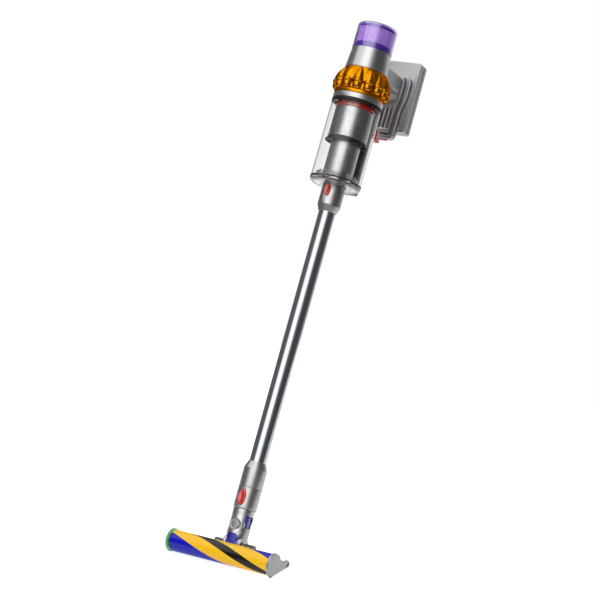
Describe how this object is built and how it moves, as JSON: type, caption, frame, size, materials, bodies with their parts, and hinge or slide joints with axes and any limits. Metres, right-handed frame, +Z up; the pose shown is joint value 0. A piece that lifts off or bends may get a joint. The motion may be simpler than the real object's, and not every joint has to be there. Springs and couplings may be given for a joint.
{
  "type": "cordless stick vacuum",
  "caption": "Cordless stick vacuum with a clear dust bin, a ring of cyclones, a slab battery on a pistol grip, a wand and a soft-roller floor head on a pivoting neck.",
  "frame": {"origin": "middle of the hand grip, where a hand or a wall dock holds the vacuum up", "axes": "+Z up with the floor head flat on the floor, +X across the floor head, +Y towards the back, the way the wand leans"},
  "size_m": [0.266, 0.81, 1.1089],
  "materials": {
    "nickel": "satin nickel-coloured moulding",
    "dark_metal": "dark satin",
    "steel": "bright",
    "wand_paint": "dark blue-grey anodised",
    "gold": "metallic orange-gold moulding",
    "purple": "translucent, glossy",
    "red": "glossy",
    "black": "fine satin",
    "rubber": "matte",
    "clear": "clear polished moulding",
    "inner_silver": "perforated shroud, satin",
    "nap": "soft woven roller nap in blue with yellow and black bands",
    "blue_clear": "translucent blue",
    "green_clear": "translucent green",
    "cap_grey": "satin grey",
    "circuit": "circuit board",
    "screen": "dark glossy display glass",
    "paper": "pleated filter paper",
    "cell_wrap": "shrink-wrapped cells"
  },
  "bodies": {
    "handheld": {"cyclone_pack": "gold", "motor_housing": "nickel", "motor": "dark_metal", "motor_mount": "rubber", "display_housing": "black", "display_screen": "screen", "bin": "clear", "bin_lid": "clear", "lid_seal": "rubber", "inner_tube": "dark_metal", "shroud": "inner_silver", "shroud_ring": "red", "wiper_skirt": "rubber", "cyclone_collar": "nickel", "bin_seal": "rubber", "bin_runner": "black", "catch_spring": "steel", "handle_shell": "nickel", "trigger_spring": "steel", "trigger_switch": "black", "control_board": "circuit"},
    "impeller": {"impeller": "steel"},
    "filter": {"filter_shell": "purple", "filter_media": "paper"},
    "menu_button": {"menu_button": "nickel"},
    "bin_catch": {"bin_catch": "red"},
    "trigger": {"trigger": "red"},
    "battery": {"battery_case": "nickel", "battery_cover": "nickel", "battery_cells": "cell_wrap", "battery_screw_left": "dark_metal", "battery_screw_right": "dark_metal", "charging_port": "black"},
    "battery_release": {"battery_release": "red"},
    "wand": {"wand_adaptor": "nickel", "wand_tube": "wand_paint", "wand_collar": "nickel", "wand_socket": "nickel"},
    "upper_button": {"upper_button": "red"},
    "lower_button": {"lower_button": "red"},
    "neck_top": {"neck_upper": "nickel", "pivot_cap_front": "nickel", "pivot_cap_back": "nickel"},
    "neck_foot": {"neck_lower": "nickel", "neck_hose": "blue_clear"},
    "head": {"head_housing": "nickel", "sole_plate": "black", "end_cap_right": "cap_grey", "end_cap_left": "green_clear", "roller_motor": "dark_metal", "roller_bearing": "steel", "light_module": "black", "neck_pin_left": "steel", "neck_pin_right": "steel"},
    "roller": {"roller_sleeve": "nap", "roller_core": "dark_metal"},
    "wheel_left": {"wheel_left": "rubber"},
    "wheel_right": {"wheel_right": "rubber"}
  },
  "joints": [
    {"name": "wand_pull", "type": "slide", "parent": "handheld", "child": "wand", "axis": [0, -0.4747, -0.8801], "range_m": [0, 0.036]},
    {"name": "head_pull", "type": "slide", "parent": "wand", "child": "neck_top", "axis": [0, -0.4747, -0.8801], "range_m": [0, 0.044]},
    {"name": "neck_lean", "type": "hinge", "parent": "neck_top", "child": "neck_foot", "pos_m": [0, -0.60821, -0.90017], "axis": [0, 0.8801, -0.4747], "range_deg": [-25, 25], "deforming": ["neck_hose"]},
    {"name": "neck_pitch", "type": "hinge", "parent": "neck_foot", "child": "head", "pos_m": [0, -0.62815, -0.93714], "axis": [1, 0, 0], "range_deg": [-25, 60]},
    {"name": "roller_spin", "type": "hinge", "parent": "head", "child": "roller", "pos_m": [0, -0.67665, -0.94017], "axis": [1, 0, 0], "continuous": true},
    {"name": "wheel_left_spin", "type": "hinge", "parent": "head", "child": "wheel_left", "pos_m": [-0.066, -0.62565, -0.95767], "axis": [1, 0, 0], "continuous": true},
    {"name": "wheel_right_spin", "type": "hinge", "parent": "head", "child": "wheel_right", "pos_m": [0.066, -0.62565, -0.95767], "axis": [1, 0, 0], "continuous": true},
    {"name": "impeller_spin", "type": "hinge", "parent": "handheld", "child": "impeller", "pos_m": [0, -0.12401, -0.00242], "axis": [0, 0.4747, 0.8801], "continuous": true},
    {"name": "filter_twist", "type": "hinge", "parent": "handheld", "child": "filter", "pos_m": [0, -0.07179, 0.0944], "axis": [0, 0.4747, 0.8801], "range_deg": [0, 30]},
    {"name": "menu_press", "type": "slide", "parent": "handheld", "child": "menu_button", "axis": [0, -0.4747, -0.8801], "range_m": [0, 0.001], "stiffness_N_per_m": 300},
    {"name": "catch_slide", "type": "slide", "parent": "handheld", "child": "bin_catch", "axis": [0, -0.4747, -0.8801], "range_m": [0, 0.008], "stiffness_N_per_m": 250, "deforming": ["catch_spring"]},
    {"name": "trigger_pull", "type": "slide", "parent": "handheld", "child": "trigger", "axis": [0, 0.4747, 0.8801], "range_m": [0, 0.004], "stiffness_N_per_m": 400, "deforming": ["trigger_spring"]},
    {"name": "battery_pull", "type": "slide", "parent": "handheld", "child": "battery", "axis": [0, 0.8801, -0.4747], "range_m": [0, 0.03]},
    {"name": "battery_release_press", "type": "slide", "parent": "battery", "child": "battery_release", "axis": [0, 0.4747, 0.8801], "range_m": [0, 0.002], "stiffness_N_per_m": 300},
    {"name": "upper_button_press", "type": "slide", "parent": "wand", "child": "upper_button", "axis": [0, 0.8801, -0.4747], "range_m": [0, 0.002], "stiffness_N_per_m": 300},
    {"name": "lower_button_press", "type": "slide", "parent": "wand", "child": "lower_button", "axis": [0, 0.8801, -0.4747], "range_m": [0, 0.0015], "stiffness_N_per_m": 300}
  ]
}
